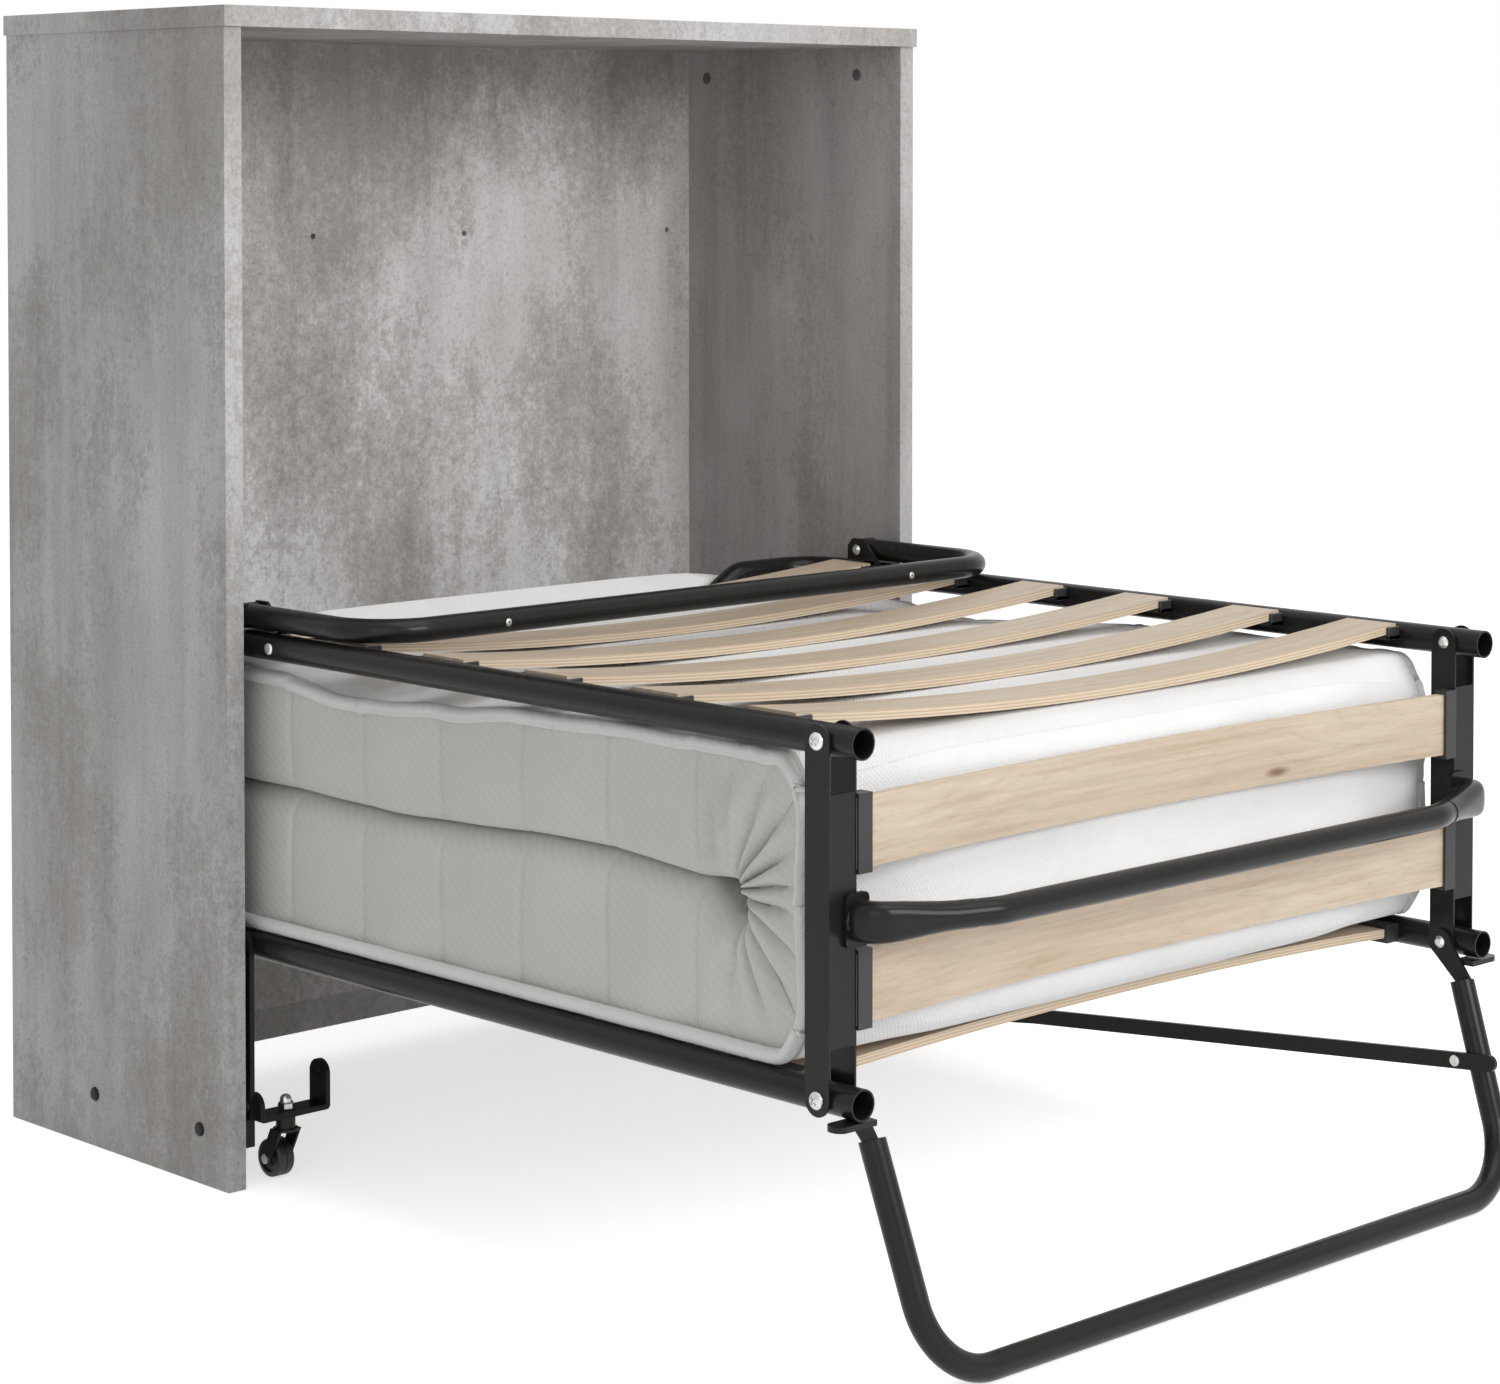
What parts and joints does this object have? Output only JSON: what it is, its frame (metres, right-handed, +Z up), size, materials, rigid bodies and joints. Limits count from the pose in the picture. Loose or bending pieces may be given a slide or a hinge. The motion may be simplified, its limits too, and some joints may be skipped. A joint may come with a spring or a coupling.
{
  "type": "cabinet bed",
  "caption": "Open-front concrete-look cabinet with a folding guest bed tilted down and half unfolded: tube frames, slats, mattress, legs and casters.",
  "frame": {"origin": "centre of the overall box on the floor", "axes": "+Z up; +X along the cabinet's width, to the right seen from the open front; +Y towards the cabinet's back, the bed comes out towards -Y"},
  "size_m": [0.896, 1.185, 1.074],
  "materials": {
    "concrete_board": "matt",
    "frame_coat": "satin",
    "black_coat": "satin",
    "slat_ply": "satin",
    "holder_plastic": "matt",
    "rivet_zinc": "bright",
    "caster_metal": "satin",
    "caster_wheel": "matt",
    "mattress_cloth": "woven"
  },
  "bodies": {
    "cabinet": {"top_panel": "concrete_board", "side_panel_left": "concrete_board", "side_panel_right": "concrete_board", "back_panel": "concrete_board", "rear_bottom_rail": "concrete_board", "base_bar_left": "black_coat", "base_bar_right": "black_coat", "post_left": "black_coat", "post_right": "black_coat", "caster_arm_left": "black_coat", "caster_arm_right": "black_coat", "strut_base_pin": "rivet_zinc"},
    "caster_left": {"caster_fork_left": "caster_metal", "caster_nut_left": "rivet_zinc", "caster_axle_left": "rivet_zinc"},
    "caster_right": {"caster_fork_right": "caster_metal", "caster_nut_right": "rivet_zinc", "caster_axle_right": "rivet_zinc"},
    "wheel_left": {"caster_wheel_left": "caster_wheel"},
    "wheel_right": {"caster_wheel_right": "caster_wheel"},
    "bed_lower": {"lower_frame_tube": "frame_coat", "tilt_rivets": "rivet_zinc", "lower_slat_holders": "holder_plastic", "lower_knee_rivets": "rivet_zinc", "mattress_lower": "mattress_cloth", "lower_slat_1": "slat_ply", "lower_slat_2": "slat_ply", "lower_slat_3": "slat_ply", "lower_slat_4": "slat_ply", "lower_slat_5": "slat_ply", "lower_slat_6": "slat_ply"},
    "knee_section": {"knee_channel_left": "frame_coat", "knee_channel_right": "frame_coat", "middle_slat_1": "slat_ply", "middle_slat_2": "slat_ply", "middle_slat_holders": "holder_plastic", "grab_bar": "frame_coat", "mattress_fold": "mattress_cloth"},
    "bed_upper": {"upper_frame_tube": "frame_coat", "upper_slat_holders": "holder_plastic", "upper_knee_rivets": "rivet_zinc", "foot_bracket_left": "frame_coat", "foot_bracket_right": "frame_coat", "foot_leg_rivets": "rivet_zinc", "mattress_upper": "mattress_cloth", "upper_slat_1": "slat_ply", "upper_slat_2": "slat_ply", "upper_slat_3": "slat_ply", "upper_slat_4": "slat_ply", "upper_slat_5": "slat_ply", "upper_slat_6": "slat_ply"},
    "foot_leg": {"foot_leg": "frame_coat"},
    "front_leg": {"front_leg": "frame_coat", "stop_shelves": "frame_coat"},
    "strut": {"strut": "frame_coat", "strut_leg_pin": "rivet_zinc"}
  },
  "joints": [
    {"name": "bed_tilt", "type": "hinge", "parent": "cabinet", "child": "bed_lower", "pos_m": [0, 0.243, 0.219], "axis": [1, 0, 0], "range_deg": [-90, 0]},
    {"name": "middle_fold", "type": "hinge", "parent": "bed_lower", "child": "knee_section", "pos_m": [0, -0.4965, 0.219], "axis": [1, 0, 0], "range_deg": [0, 90]},
    {"name": "foot_fold", "type": "hinge", "parent": "knee_section", "child": "bed_upper", "pos_m": [0, -0.4965, 0.494], "axis": [1, 0, 0], "range_deg": [0, 90]},
    {"name": "foot_leg_fold", "type": "hinge", "parent": "bed_upper", "child": "foot_leg", "pos_m": [0, 0.2565, 0.5193], "axis": [-1, 0, 0], "range_deg": [0, 107]},
    {"name": "front_leg_fold", "type": "hinge", "parent": "bed_lower", "child": "front_leg", "pos_m": [0, -0.4965, 0.219], "axis": [1, 0, 0], "range_deg": [0, 99]},
    {"name": "strut_swing", "type": "hinge", "parent": "cabinet", "child": "strut", "pos_m": [0, 0.234, 0.092], "axis": [1, 0, 0], "range_deg": [-87.3, 0]},
    {"name": "caster_swivel_left", "type": "hinge", "parent": "cabinet", "child": "caster_left", "pos_m": [-0.38, 0.234, 0.05], "axis": [0, 0, 1], "continuous": true},
    {"name": "caster_swivel_right", "type": "hinge", "parent": "cabinet", "child": "caster_right", "pos_m": [0.38, 0.234, 0.05], "axis": [0, 0, 1], "continuous": true},
    {"name": "wheel_spin_left", "type": "hinge", "parent": "caster_left", "child": "wheel_left", "pos_m": [-0.38, 0.249, 0.0175], "axis": [1, 0, 0], "continuous": true},
    {"name": "wheel_spin_right", "type": "hinge", "parent": "caster_right", "child": "wheel_right", "pos_m": [0.38, 0.249, 0.0175], "axis": [1, 0, 0], "continuous": true}
  ],
  "couplings": [
    {"joint": "front_leg_fold", "follows": "bed_tilt", "ratio": -1.1},
    {"joint": "strut_swing", "follows": "bed_tilt", "ratio": 0.97}
  ]
}
